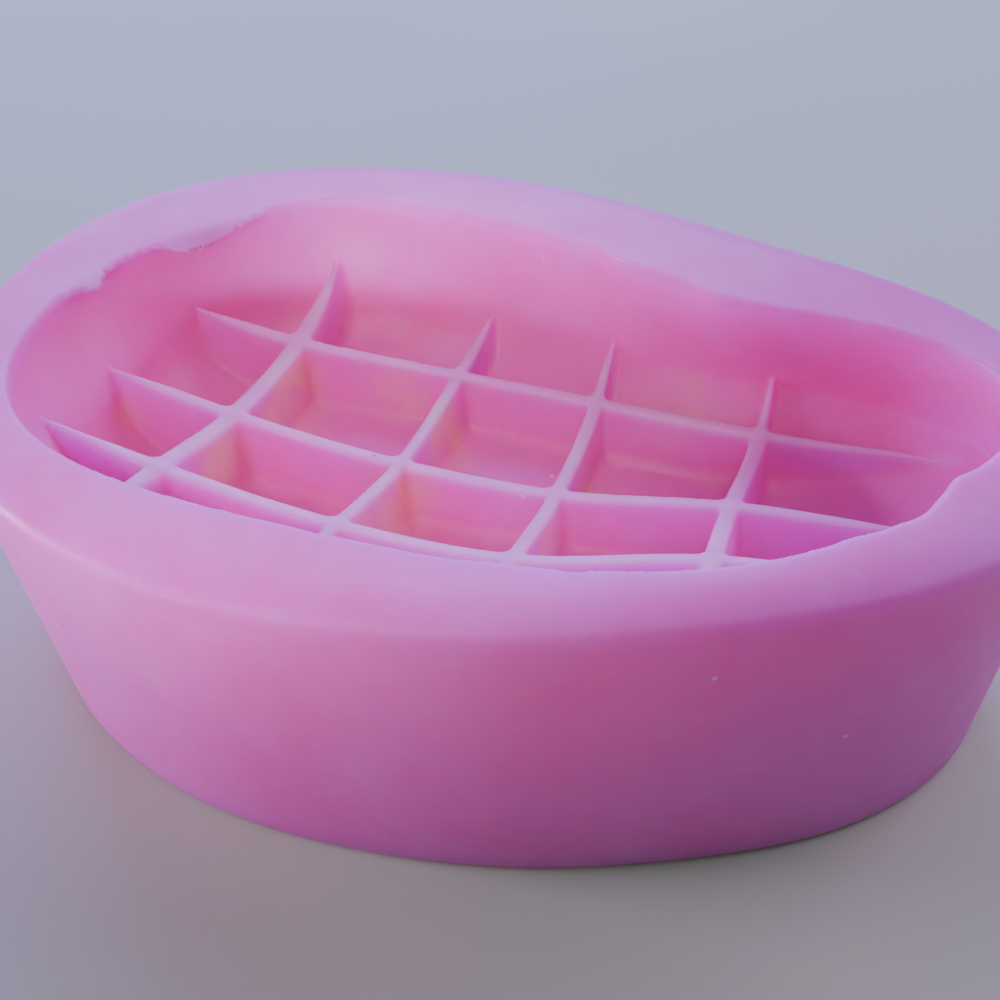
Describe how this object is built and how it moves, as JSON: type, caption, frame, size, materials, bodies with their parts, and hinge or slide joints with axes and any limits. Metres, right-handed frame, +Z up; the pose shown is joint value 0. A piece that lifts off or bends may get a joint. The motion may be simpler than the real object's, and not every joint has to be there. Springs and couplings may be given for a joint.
{
  "type": "silicone soap mould",
  "caption": "Thick pear-shaped silicone mould with a broad flat rim and a bowl-shaped cavity crossed by a grid of thin dividers, for casting a diced mango soap bar.",
  "frame": {"origin": "centre of the bounding box at the underside of the base, on the table", "axes": "+X along the length, towards the narrow end; +Y across the width, towards the concave flank; +Z up out of the mouth"},
  "size_m": [0.1196, 0.0829, 0.0365],
  "materials": {
    "wall_silicone": "smooth matte pink silicone, slightly translucent",
    "rim_silicone": "smooth pink silicone with a soft sheen",
    "cavity_silicone": "satin pink silicone, slightly translucent",
    "divider_silicone": "satin pink silicone, thin and translucent"
  },
  "bodies": {
    "root": {"base": "wall_silicone", "outer_wall": "wall_silicone", "rim": "rim_silicone", "cavity_floor": "cavity_silicone", "divider_long_rear": "divider_silicone", "divider_long_middle": "divider_silicone", "divider_long_front": "divider_silicone", "divider_cross_1": "divider_silicone", "divider_cross_2": "divider_silicone", "divider_cross_3": "divider_silicone", "divider_cross_4": "divider_silicone"}
  },
  "joints": []
}
